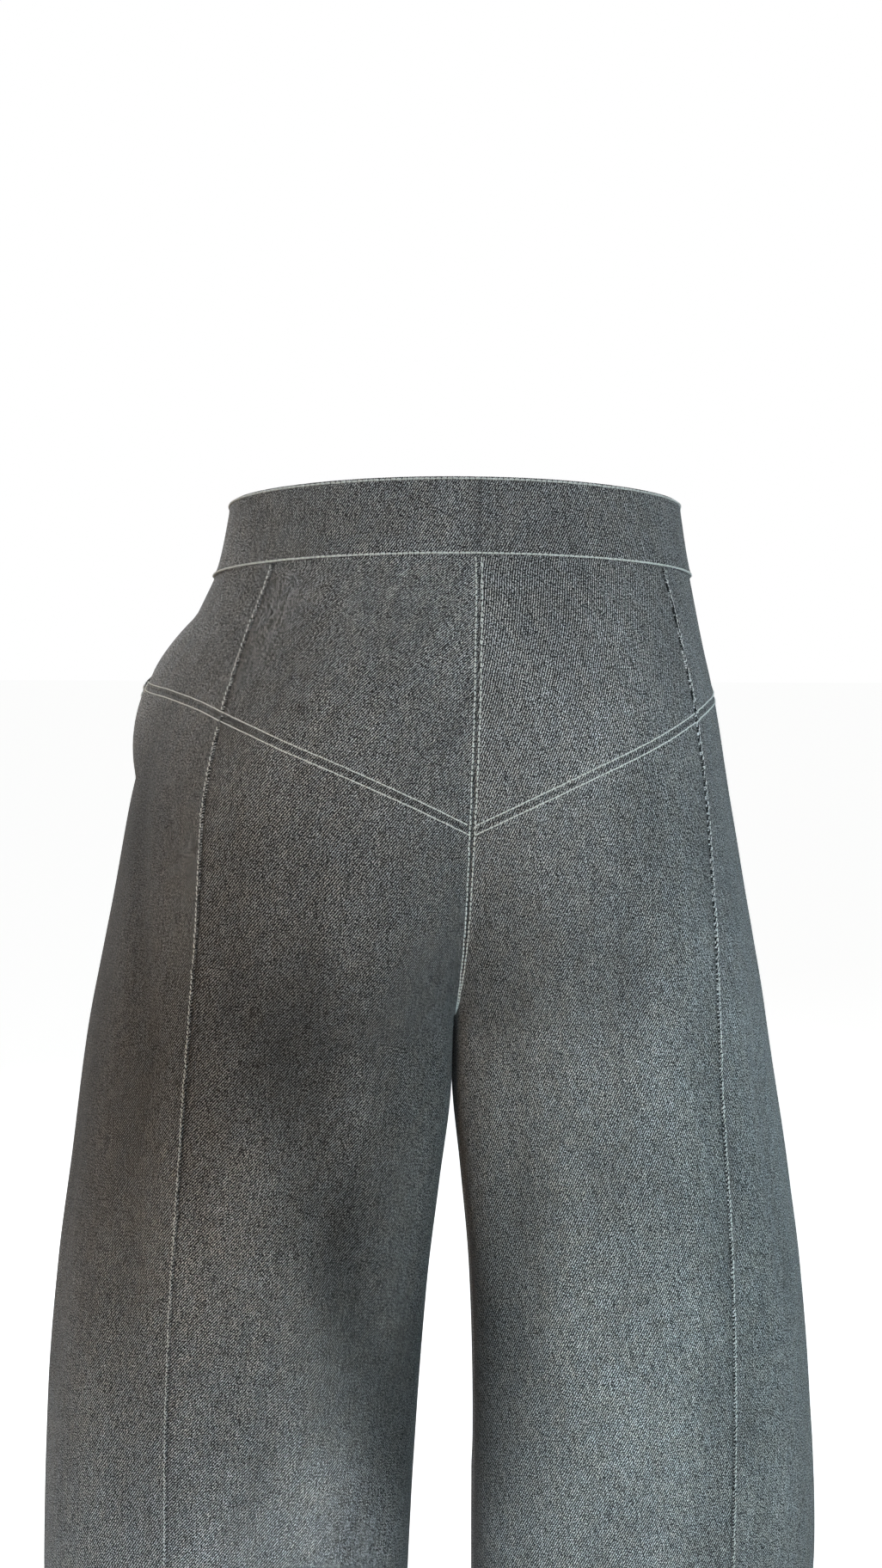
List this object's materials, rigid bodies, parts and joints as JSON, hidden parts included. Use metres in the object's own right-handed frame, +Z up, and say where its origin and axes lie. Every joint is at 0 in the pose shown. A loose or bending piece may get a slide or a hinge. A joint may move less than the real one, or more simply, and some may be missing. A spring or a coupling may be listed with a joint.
{
  "type": "barrel jeans",
  "caption": "High-waist denim jeans with a deep V back yoke, curved side panels and barrel legs that bow out to the knee and narrow to the hem.",
  "frame": {"origin": "centre of the waist opening, level with the waistband's top edge at centre back", "axes": "+Z up along the garment, -Y to its front, +X to the wearer's left"},
  "size_m": [0.4746, 0.237, 1.0001],
  "materials": {
    "denim": "charcoal twill denim with a pale weft",
    "zip_tape": "woven dark grey tape",
    "thread": "off-white topstitching thread",
    "metal": "dull nickel"
  },
  "bodies": {
    "root": {"waistband": "denim", "back_yoke_left": "denim", "back_yoke_right": "denim", "side_yoke_left": "denim", "side_yoke_right": "denim", "back_leg_left": "denim", "back_leg_right": "denim", "side_leg_left": "denim", "side_leg_right": "denim", "front_leg_left": "denim", "front_leg_right": "denim", "fly_facing": "denim", "zip": "zip_tape", "zip_slider": "metal", "waist_button": "metal"}
  },
  "joints": []
}
